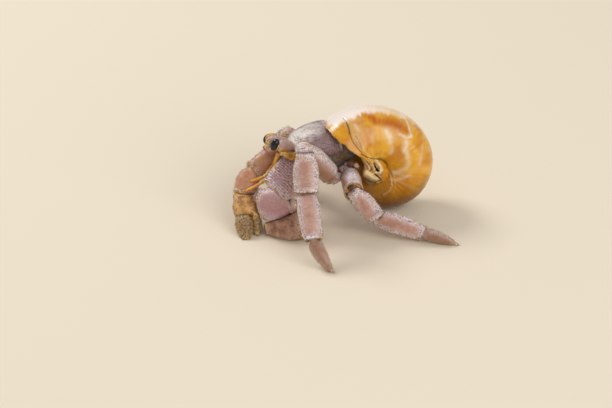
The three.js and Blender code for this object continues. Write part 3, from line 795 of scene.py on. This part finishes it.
# stains: chains of [degrees behind the lip, degrees round the tube], half width in mm, weight
shellMarks = {
    "amber": [
        ([(38, -54), (44, -62), (54, -61), (66, -57), (80, -54)], 1.5, 0.95),
        ([(45, -65), (54, -63)], 1.3, 1.0),
        ([(24, -62), (32, -60), (38, -58)], 0.7, 0.45),
        ([(34, -84), (30, -104)], 1.1, 0.5),
        ([(96, -92), (104, -100)], 1.0, 0.5),
        ([(84, -104), (92, -110)], 0.8, 0.45),
        ([(104, -60), (96, -30), (84, -8)], 1.2, 0.4),
        ([(190, -90), (150, -70), (128, -60)], 1.6, 0.35),
    ],
    "cream": [
        ([(66, -8), (70, -20), (77, -34), (84, -48), (91, -58), (87, -69), (78, -73)], 0.45, 0.9),
        ([(58, -78), (68, -92)], 0.9, 0.8),
        ([(75, -99), (82, -110)], 0.7, 0.4),
        ([(92, -76), (99, -86), (115, -87)], 0.75, 0.75),
        ([(152, -116), (137, -100), (122, -86)], 0.6, 0.65),
        ([(23, -64), (23, -76)], 0.6, 0.5),
        ([(108, -48), (118, -58), (130, -64)], 0.7, 0.35),
        ([(180, -110), (160, -96), (146, -84)], 0.5, 0.4),
    ],
    "scar": [
        ([(15, -40), (16.5, -50), (16, -62), (12.5, -78), (10, -89), (8, -104), (7.5, -112)], 0.1, 1.0),
        ([(16.6, -52), (15.2, -66), (13, -76)], 0.24, 0.95),
        ([(17, -82), (16.5, -91), (13.5, -103)], 0.08, 0.85),
        ([(18.6, -89), (15.6, -100), (11, -108)], 0.08, 0.75),
        ([(14.5, -84), (12, -98), (9, -108)], 0.06, 0.7),
    ],
}
# marks round the navel: chains of [a, b] mm from the axis, a along `zero` and b a quarter turn on
navelMarks = {
    "scar": [
        ([(-4.9, 4.6), (-4.0, 4.1), (-2.8, 3.5), (-0.9, 3.05), (0.3, 2.9)], 0.13, 1.0),
        ([(0.6, 2.7), (1.7, 1.9), (2.4, 0.6)], 0.3, 0.45),
    ],
    "ridge": [
        ([(2.3, 0.9), (2.9, -0.6), (3.4, -2.5), (3.6, -4.5), (3.0, -5.9), (1.4, -7.2)], 0.34, 1.0),
        ([(3.3, 0.4), (4.1, -2.0), (4.5, -4.2), (4.1, -6.4)], 0.3, 0.45),
    ],
    # painted shade along the callus's edge, in olive
    "olive": [
        ([(0.2, 3.2), (1.5, 2.5), (2.4, 1.2)], 0.5, 0.7),
        ([(2.9, 0.4), (3.9, -1.6)], 0.35, 0.5),
        ([(-1.6, 3.7), (0.0, 4.6)], 0.4, 0.25),
    ],
}


def chainMask(places, marks, onSurface=np.array):
    total = np.zeros(places.shape[:-1])
    for chain, width, weight in marks:
        total = np.maximum(total, weight * nearLine(places, onSurface(chain), width))
    return total


def onWhorl(chain):
    # more places between the corners, then out onto the shell
    steps = np.linspace(0, len(chain) - 1, 6 * len(chain) - 5)
    behind, around = (np.interp(steps, np.arange(len(chain)), column) for column in np.array(chain).T)
    return shellSurface(shellShape["lipTurn"] - behind, around)


def makeShell():
    shape = shellShape
    lip = shape["lipTurn"]
    rings, sides = shape["mesh"]
    behind = ((lip - shape["oldestTurn"]) * np.linspace(1, 0, rings) ** 1.3)[:, None]
    around = np.linspace(0, 360, sides, endpoint=False)[None]
    ragged = 1.1 * softNoise(np.stack([around * 0.12, 0 * around, 0 * around], -1), 1.0, 3)
    turn = lip - behind + ragged * bell(behind, 7)
    outer = shellSurface(turn, around + 0 * turn)
    apex, axis, zero, quarter = shellAxes()
    outward = gridNormals(outer)
    flat = np.stack([(outer - apex) @ zero, (outer - apex) @ quarter], -1)
    reach = np.linalg.norm(flat, axis=-1)
    facing = ramp(0.15, 0.5, -(outward @ axis)) * (behind < 330)
    wobble = np.stack([layeredNoise(outer, 3.0, 21 + k) for k in range(3)], -1)

    def striped(turns, arounds, seed):
        return softNoise(np.stack([turn * turns, around * arounds + 0 * turn, 0 * turn], -1), 1.0, seed)

    def onNavel(kind, waver):
        return facing * chainMask(flat + waver * wobble[..., :2], navelMarks[kind])

    streaks = striped(0.55, 0.016, 4) * ramp(2, 13, reach / shape["growth"] ** (-behind / 360))
    bands = striped(0.14, 0.03, 6)
    signed = (around + 180) % 360 - 180
    arc = np.radians(behind) * reach
    scar = np.maximum(chainMask(outer + 0.1 * wobble, shellMarks["scar"], onWhorl), onNavel("scar", 0.12))
    ridge = onNavel("ridge", 0.15)
    lift = shape["streak"] * streaks - shape["crack"] * scar + shape["ridge"] * ridge
    step = ramp(16.5, 13.5, behind + 0.3 * wobble[..., 0]) * ramp(-20, -50, signed)
    lift = (lift + shape["step"] * step) * ramp(0, 0.8, arc)
    outer = outer + outward * lift[..., None]
    inside = np.linspace(0, shape["hollowTurns"], max(60, rings // 5))[:, None]
    wall = shape["lipWall"] + (shape["wall"] - shape["lipWall"]) * ramp(0, 30, inside)
    innerTurn = lip - inside + ragged * bell(inside, 7)
    inner = shellSurface(innerTurn, around + 0 * innerTurn, wall)
    bulge = (outer[-1] + inner[0]) / 2 + 0.18 * unit(outer[-1] - outer[-3])
    grid = np.vstack([outer, bulge[None], inner])
    height = outer[..., 2] + 1.2 * wobble[..., 0]
    above = signed - np.interp(behind, *np.array(paleTopEdge, float).T) + 6 * wobble[..., 1] + 5 * streaks
    pale = ramp(-2, 12, above) * (1 - 0.75 * ramp(15, 75, signed + 18 * bands))
    uneven = 0.85 + 0.3 * streaks
    masks = {
        "amber": chainMask(outer + 0.7 * wobble, shellMarks["amber"], onWhorl) * uneven,
        "cream": chainMask(outer + 0.55 * wobble, shellMarks["cream"], onWhorl) * uneven,
        "peach": pale * uneven * ramp(420, 300, behind),
        # near the lip the pale top is near white: partly the shell's own blush, partly a painted highlight
        "blush": pale * (ramp(70, 20, behind + 14 * streaks) + 0.45 * ramp(0.25, 0.7, streaks)),
        # darker brown towards the bottom: partly the shell's own brown, partly painted shade
        "low": ramp(14.5, 2.5, height),
        "scar": np.maximum(scar, 0.5 * bell(arc, 0.1)),
        "growth": 0.5 + 0.5 * streaks,
        "bands": 0.5 + 0.5 * bands,
        "rim": bell(arc - 0.25, 0.55) * ramp(10, -25, signed),
        "olive": onNavel("olive", 0.2),
        "ridge": ridge,
        "inside": 0,
    }
    for key, values in masks.items():
        more = np.full((len(inner) + 1, sides), float(key == "inside"))
        masks[key] = np.vstack([np.clip(values + 0 * height, 0, 1), more])
    piece = tubePiece("snailShell", grid, masks, makeMaterial("snailAragonite", shellLook))
    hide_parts("shell")


# callus: lime that the snail's foot laid down thick and half matt over the navel, cream with brown folds; its
# clefts and one lower corner are painted dark as shade.
# Its places are [a, b] as in navelMarks, and its drop is the depth below the apex in mm, along the axis
callusLook = {
    "ground": "#d0a056",
    "coats": ((1.4, "#b47e46", 1, 0.42, 0.6), ("ochre", "#cf8a0e"), ("cream", "#ead29c"),
              ("olive", "#6b5a1e"), ("cleft", "#2f160c")),
    "bump": (0.04, 0.5),
    "sockets": {"Roughness": 0.35, "IOR": 1.53, "Coat Weight": 0.2},
    "middle": (-0.9, 0.1),
    # the outline, with the drop where it is known, then places inside it
    "rim": [(-5.0, 4.7), (-2.8, 3.5, 21.3), (-0.9, 3.1, 19.3), (0.4, 2.9, 18.1), (1.7, 2.0, 16.5),
            (2.4, 0.6, 15.3), (2.8, -0.6), (2.9, -1.7, 14.9), (2.2, -3.1, 14.2), (0.6, -3.8, 13.9),
            (-1.1, -4.1, 14.3), (-2.7, -4.1, 15.0), (-3.9, -2.9, 16.4), (-4.4, -0.9, 18.2), (-4.0, 1.0, 19.6),
            (-4.4, 2.6, 20.9), (-5.1, 3.8, 21.8)],
    "inside": [(-5.0, 4.6, 22.2), (-2.8, 1.2, 19.9), (-1.2, 0.5, 18.3), (0.0, 0.3, 17.2), (0.9, 0.0, 16.4),
               (-2.3, -1.9, 17.4), (-0.5, -1.5, 16.2), (-1.5, 2.4, 19.5), (0.6, 1.6, 17.4)],
    "floor": 10.5,
    "mesh": (60, 190),
    "draftMesh": (34, 110),
    # folds, and clefts with a height below 0: half width mm, height mm, strength of the colour
    "folds": [
        ([(-4.6, 4.0), (-3.6, 2.7), (-2.8, 1.2), (-2.6, 0.5)], 0.36, 0.5, 0.75),
        ([(-2.9, 3.3), (-1.95, 2.2), (-1.5, 1.0), (-1.25, 0.0)], 0.4, 0.6, 0.55),
        ([(-0.8, 2.7), (0.1, 1.6), (0.7, 0.5), (0.75, 0.0), (0.2, -0.7), (-0.8, -0.95)], 0.5, 0.8, 1.0),
        ([(-3.5, -0.9), (-2.5, -1.7), (-1.6, -2.3), (-0.9, -2.8)], 1.0, 1.3, 0.9),
        ([(-1.55, 1.9), (-1.1, 1.0), (-0.6, 0.2), (-0.35, -0.3)], 0.17, -1.4, 1.0),
        ([(-0.7, 0.0), (-0.1, -0.25)], 0.26, -0.9, 1.0),
        ([(-1.1, -1.1), (-0.3, -1.9), (0.5, -2.7)], 0.15, -0.9, 0.9),
        ([(-3.9, 3.4), (-3.0, 2.1), (-2.3, 0.9), (-2.1, 0.2), (-2.5, -0.3)], 0.14, -0.5, 0.6),
        ([(-4.1, -2.2), (-2.8, -3.3), (-1.2, -3.7), (0.3, -3.1)], 0.24, -0.7, 0.75),
    ],
}


def makeCallus():
    look = callusLook
    apex, axis, zero, quarter = shellAxes()
    outline = np.array([row[:2] for row in look["rim"]]) - look["middle"]
    rings, sides = look["mesh"]
    angles = fullTurn(sides)
    bearing = np.arctan2(*outline.T[::-1]) % (2 * math.pi)
    reach = np.interp(angles, bearing, np.linalg.norm(outline, axis=1), period=2 * math.pi)
    reach = np.fft.irfft(np.fft.rfft(reach)[:14], sides)
    share = np.linspace(0.01, 1, rings)[:, None]
    flat = look["middle"] + np.stack([np.cos(angles), np.sin(angles)], -1) * (share * reach)[..., None]
    known = np.array([row for row in look["rim"] if len(row) > 2] + look["inside"])
    weight = 1 / (np.linalg.norm(flat[..., None, :] - known[:, :2], axis=-1) + 0.25) ** 3
    drop = (weight * known[:, 2]).sum(-1) / weight.sum(-1)
    lumps = layeredNoise(np.dstack([flat, 0 * flat[..., 0]]), 1.6, 50)
    wavy = flat + 0.1 * np.stack([lumps, lumps[::-1]], -1)
    cream, cleft = np.zeros_like(drop), np.zeros_like(drop)
    for chain, width, height, tint in look["folds"]:
        near = nearLine(wavy, np.array(chain), width)
        drop = drop + height * near
        if height > 0:
            cream = np.maximum(cream, tint * ramp(0.15, 0.7, near))
        else:
            # clefts are sunk and painted near black as shade in the grooves
            cleft = np.maximum(cleft, tint * near)
    drop = drop + 0.12 * lumps - 0.7 * ramp(0.86, 1, share) ** 2
    # a skirt goes down from the outline to the floor
    sink = np.linspace(0.06, 1, 8)[:, None]
    skirt = drop[-1:] + (look["floor"] - drop[-1:]) * sink
    flat = np.vstack([flat, np.repeat(flat[-1:], len(sink), 0)])
    drop = np.vstack([drop, skirt])
    grid = apex - axis * drop[..., None] + zero * flat[..., :1] + quarter * flat[..., 1:]
    pad = ((0, len(sink)), (0, 0))
    a, b = flat[..., 0], flat[..., 1]
    masks = {"cream": np.pad(cream, pad), "cleft": np.pad(cleft, pad),
             # painted shade on the pad's lower corner, in olive
             "olive": 0.5 * ramp(-1.2, -3.4, b) * ramp(0.4, -1.5, a),
             "ochre": ramp(0.7, 1.6, a + 0.4 * np.maximum(b, 0))}
    piece = tubePiece("navelCallus", grid, masks, makeMaterial("callusLime", look))


makeShell()
makeCallus()
print("shell made")


# soft body: one skin over trunk, rear and abdomen. It is uncalcified cuticle over muscle: leathery, finely
# wrinkled, mottled slate and brown
skinLook = {
    "ground": "#716b6b",
    "coats": ((2.6, "#80603f", 1, 0.4, 0.6), (0.8, "#aa9d92", 0.7, 0.5, 0.75)),
    "bump": (0.08, 0.35),
    "sockets": {"Roughness": 0.5, "IOR": 1.42},
    "swell": 0.3,         # mm that the solids are grown by before they are fused
    "pitchMm": 0.3,
    "draftPitchMm": 0.4,
    "wrinkleMm": 1.1,
    "wrinkleHeight": 0.1,
}


def vertexArrays(mesh):
    places, normals = (np.array([getattr(v, key) for v in mesh.vertices]) for key in ("co", "normal"))
    return places / mm, normals


def makeSkin():
    # the three solids are swollen a little, fused at a fine pitch, then drawn back in
    points, faces, total = [], [], 0
    for name in ("trunk", "soft_rear", "abdomen"):
        place, normal = vertexArrays(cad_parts[name].data)
        points.append(place + normal * skinLook["swell"])
        faces.append(readNode(name)["faces"] + total)
        total += len(place)
    piece = meshPiece("bodySkin", np.vstack(points), [np.vstack(faces)])
    fuse = piece.modifiers.new("fuse", "REMESH")
    fuse.mode = "VOXEL"
    fuse.voxel_size = skinLook["pitchMm"] * mm
    piece.modifiers.new("relax", "SMOOTH").iterations = 8
    graph = bpy.context.evaluated_depsgraph_get()
    mesh = bpy.data.meshes.new_from_object(piece.evaluated_get(graph))
    piece.modifiers.clear()
    old, piece.data = piece.data, mesh
    bpy.data.meshes.remove(old)
    place, normal = vertexArrays(mesh)
    folds = skinLook["wrinkleHeight"] * layeredNoise(place * [1.8, 1, 1], skinLook["wrinkleMm"], 31)
    place = onFloor(place + normal * (folds - 0.8 * skinLook["swell"])[:, None])
    fill(mesh.vertices, "co", place * mm)
    fill(mesh.polygons, "use_smooth", np.ones(len(mesh.polygons)), bool)
    mesh.update()
    mesh.materials.append(makeMaterial("softCuticle", skinLook))
    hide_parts("trunk", "soft_rear", "abdomen")


makeSkin()
print("body skin made")


# carapace shield: the hard saddle over the front of the body
shieldLook = {"yaw": 15.0, "pitch": 6.0, "thick": 0.5, "reachOut": 20.0, "slices": 26, "softened": 4,
              "mesh": (90, 150), "draftMesh": (52, 90), "hairs": 60, "hairMm": (1.1, 0.1)}
# the shield's top gets a painted highlight in the pale colour
shieldPlate = dict(cover=0.95, grainMm=0.42, grainHeight=0.09, crests=(), margin=0.8, socket=False, neck=0.0,
                   jointTint=0.6, bleach=0.78, crestHeight=0.0, specks=0.95, stain=0.4)


def makeShield():
    # rays from outside find the saddle's upper face, as its solid is open underneath
    name, reachOut = "shield", shieldLook["reachOut"]
    node = readNode(name)
    yaw, pitch = math.radians(shieldLook["yaw"]), math.radians(shieldLook["pitch"])
    back = np.array([math.cos(yaw) * math.cos(pitch), math.sin(yaw) * math.cos(pitch), math.sin(pitch)])
    right = np.array([-math.sin(yaw), math.cos(yaw), 0.0])
    above = np.cross(back, right)
    reach, side, rise = node["points"] @ back, node["points"] @ right, node["points"] @ above
    length = np.ptp(reach)
    base = (side.min() + side.max()) / 2 * right + (rise.min() + 0.05) * above + reach.min() * back
    stations = np.linspace(0.02, 0.985, shieldLook["slices"])
    turns = np.linspace(0, math.pi, 61)
    radii = np.full((len(stations), len(turns)), np.nan)
    for i, share in enumerate(stations):
        place = base + back * length * share
        for j, out in enumerate(spokes(right, above, turns)):
            hit = node["tree"].ray_cast(Vector(place + out * reachOut), Vector(-out), reachOut)
            if hit[0]:
                radii[i, j] = reachOut - hit[3]
        known = ~np.isnan(radii[i])
        radii[i] = np.interp(turns, turns[known], radii[i, known])
    radii = soften(radii.T, shieldLook["softened"]).T
    count, sides = shieldLook["mesh"]
    share = np.linspace(0, 1, count)
    along = share * 0.965 + 0.02
    fineTurns = np.linspace(0, math.pi, sides)
    rows = np.array([np.interp(fineTurns, turns, row) for row in radii])
    radius = np.array([np.interp(along, stations, column) for column in rows.T]).T[..., None]
    place = base + back * (length * along)[:, None]
    out = spokes(right, above, fineTurns)
    outer = place[:, None] + out * radius
    inner = place[:, None] + out * np.maximum(radius - shieldLook["thick"], 0.2)
    ray = np.broadcast_to(out, outer.shape)
    forward = np.broadcast_to(back, (count, 3))
    plate = {**plateShape, **shieldPlate}
    dressed, masks, patch = dressPlate(outer, ray, forward, rowsOf(share, length), fineTurns, plate, 71)
    # painted shade: the saddle's two lower side edges are darkened with the furrow colour
    sideEdgeShade = bell(np.minimum(fineTurns, math.pi - fineTurns), 0.12)[None]
    masks["furrow"] = np.clip(masks["furrow"] + 0.5 * sideEdgeShade, 0, 0.9)
    rear = ramp(0.4, 0.95, share)[:, None]
    masks["joint"] = np.maximum(masks["joint"], 0.6 * rear * ramp(0.0, 0.6, layeredNoise(outer, 1.3, 77)))
    grid = np.hstack([dressed, inner[:, ::-1]])
    masks = {k: np.hstack([v, v[:, ::-1]]) for k, v in masks.items()}
    addPlate(name, grid, masks, "shield", "carapaceShield")
    rng = np.random.default_rng(72)
    chance = bell(patch["fromStart"] - 1.2, 0.8) * ramp(0.2, 0.8, patch["ray"] @ upward)
    hairs = growBristles(patch, shieldLook["hairs"], shieldLook["hairMm"], chance, rng)
    bristlePiece("shieldBristles", [hairs])


# eyestalks, feelers, mouth legs and the short gripping legs
smallPlate = dict(socket=False, tipDepth=0.7, fill=0.0, grainMm=0.4, jointTint=0, grainHeight=0.02,
                  crestHeight=0.0, crests=())
stalkPlate = dict(look="stalk", slot="leg_plate", grainHeight=0.06, cover=0.2, tipDepth=0.25)
whipPlate = dict(look="feeler", slot="feeler")
smallParts = {
    "eyestalk": dict(stalkPlate,
                     left=dict(heading=(-1, -0.2, 0.4), warmSide=(-0.1, -0.5, -0.8), warmFrom=(0.15, 0.4),
                               warmDepth=0.65),
                     right=dict(heading=(-1, -0.1, 0.4), warmSide=(-0.7, -0.8, 0.3), warmFrom=(0.6, 0.85),
                                tipDepth=1.15, fill=0.75)),
    "antenna_base": dict(stalkPlate, look="peduncle", slot="feeler", heading=(-1, -0.1, 0.4), cover=0.7),
    "antenna": dict(whipPlate, bend=3, left=dict(heading=(0, 0.2, -1)), right=dict(heading=(0.3, 1, -1))),
    "antennule_base": dict(whipPlate, look="peduncle", heading=(-1, -0.1, -1), paleFrom=(0.65, 0.9)),
    "antennule_tip": dict(whipPlate, heading=(-1, 0, -0.4)),
    "jaw_leg": dict(look="peduncle", slot="leg_plate", heading=(-0.3, 0, -1)),
    "fourth_leg": dict(look="hand", slot="leg_plate", left=dict(heading=(0.3, -1, 0.2)),
                       right=dict(heading=(0.1, 1, 0.2))),
}


def makeSmallParts():
    pairs = itertools.product(smallParts.items(), ("left", "right"))
    for number, ((kind, part), side) in enumerate(pairs):
        plate = {**plateShape, **smallPlate, **part, **part.get(side, {})}
        name = f"{side}_{kind}"
        bar = measureBar(name, plate["heading"], upward + 0.01, plate["bend"])
        grid, masks, _ = detailPlate(bar, plate, 200 + number)
        addPlate(name, grid, masks, plate["look"])


# cornea: clear lens facets over black pigment, wet looking
corneaLook = {
    "ground": "#08070a",
    "coats": ((0.5, "#15101a"),),
    "bump": (0.006, 0.12, 0, 1, None),
    "sockets": {"Roughness": 0.08, "IOR": 1.5},
    "shift": {"left": (0, 0, 0), "right": (0.85, 0.5, -0.33)},   # mm; the right lens is on its far side
}
# the stalk's plate laps over the right lens from the inner side: its middle faces `toward`
lidLook = {"toward": (0.449, -0.808, 0.383), "spread": 76.0, "cover": 1.1, "under": 0.97, "rows": 26,
           "sides": 44}


def makeCornea(side, lens):
    name = side + "_cornea"
    centre = readNode(name)["centre"] + corneaLook["shift"][side]
    long = longAxis(readNode(name), upward)
    axes = np.array([*crossAxes(long, (-0.9, -0.3, 0.4)), long])
    half = np.abs((readNode(name)["points"] - centre) @ axes.T).max(0) * 1.02
    rise = np.radians(np.linspace(-86, 86, 40))[:, None, None]
    ring = spokes(axes[0] * half[0], axes[1] * half[1], fullTurn(56))
    piece = tubePiece(camel(name), centre + ring * np.cos(rise) + long * half[2] * np.sin(rise), {}, lens)
    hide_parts(name)
    if side == "right":
        makeLid(centre, axes, half)


def makeLid(centre, axes, half):
    # a thin golden cap over the lens, closed by its own underside
    toward = unit(lidLook["toward"])
    angles = fullTurn(lidLook["sides"])
    spread = lidLook["spread"] * (1 + 0.05 * np.sin(3 * angles + 1) + 0.04 * np.sin(7 * angles))
    share = np.linspace(0.03, 1, lidLook["rows"])
    share = np.concatenate([share, share[:-9:-1]])[:, None]
    under = np.arange(len(share))[:, None] >= lidLook["rows"]
    polar = np.radians(share * spread)[..., None]
    rays = toward * np.cos(polar) + spokes(*crossAxes(toward, upward), angles) * np.sin(polar)
    lift = np.where(under, lidLook["under"], lidLook["cover"] - 0.05 * ramp(0.8, 1.0, share))
    lift = lift + 0.02 * softNoise(centre + rays, 0.35, 301)
    grid = centre + ((rays @ axes.T) * half * lift[..., None]) @ axes
    spots = ramp(0.1, 0.5, softNoise(grid, 0.45, 302))
    masks = {"warm": 0.9 - 0.6 * spots, "furrow": 0.9 * ramp(0.1, 0.5, softNoise(grid, 0.42, 303)),
             "joint": 0.8 * ramp(0.86, 1.0, share) + 0 * spots}
    piece = tubePiece("rightEyeLid", grid, masks, chitins["stalk"])


makeShield()
makeSmallParts()
lens = makeMaterial("corneaLens", corneaLook)
for side in ("left", "right"):
    makeCornea(side, lens)
print("head made")


# floor, light and camera; the stage is in metres
stageLook = {
    "floor": {"ground": "#e9dcc6", "sockets": {"Roughness": 0.9}},
    "world": "#ffffff",
    "worldStrength": 0.45,
    # place, size and watts
    "lamps": {"keyLight": ((-0.45, 0.55, 0.75), 0.35, 5.2), "fillLight": ((0.35, -0.75, 0.55), 0.8, 5.0)},
}
# mm and degrees; the lens is in mm of a sensor 36 mm wide
viewpoint = {"aim": (-8.653, -5.673, 6.160), "azimuth": -15.0, "elevation": 30.0, "distance": 700.0,
             "lens": 148.3, "sensor": 36}


def place(name, data, spot, toward):
    thing = bpy.data.objects.new(name, data)
    bpy.context.scene.collection.objects.link(thing)
    thing.location = spot
    thing.rotation_euler = toward.to_track_quat("-Z", "Y").to_euler()
    return thing


def makeStage():
    bpy.ops.mesh.primitive_plane_add(size=6, location=(0, 0, -0.00002))
    floor = bpy.context.object
    floor.name = "floorSheet"
    floor.data.materials.append(makeMaterial("paperFloor", stageLook["floor"]))
    world = bpy.data.worlds.new("studio")
    bpy.context.scene.world = world
    world.use_nodes = True
    background = world.node_tree.nodes["Background"]
    background.inputs["Color"].default_value = linearColour(stageLook["world"])
    background.inputs["Strength"].default_value = stageLook["worldStrength"]
    for name, (spot, size, watts) in stageLook["lamps"].items():
        light = bpy.data.lights.new(name, "AREA")
        light.energy = watts
        light.size = size
        place(name, light, spot, -Vector(spot))


def makeCamera():
    azimuth, elevation = math.radians(viewpoint["azimuth"]), math.radians(viewpoint["elevation"])
    level = math.cos(elevation)
    back = Vector((math.sin(azimuth) * level, -math.cos(azimuth) * level, math.sin(elevation)))
    spot = (Vector(viewpoint["aim"]) + back * viewpoint["distance"]) * mm
    camera = place("camera", bpy.data.cameras.new("camera"), spot, -back)
    camera.data.lens = viewpoint["lens"]
    camera.data.sensor_width = viewpoint["sensor"]
    camera.data.clip_start = 0.01
    bpy.context.scene.camera = camera


makeStage()
makeCamera()
bpy.context.scene.view_settings.view_transform = "Standard"
print("scene ready")
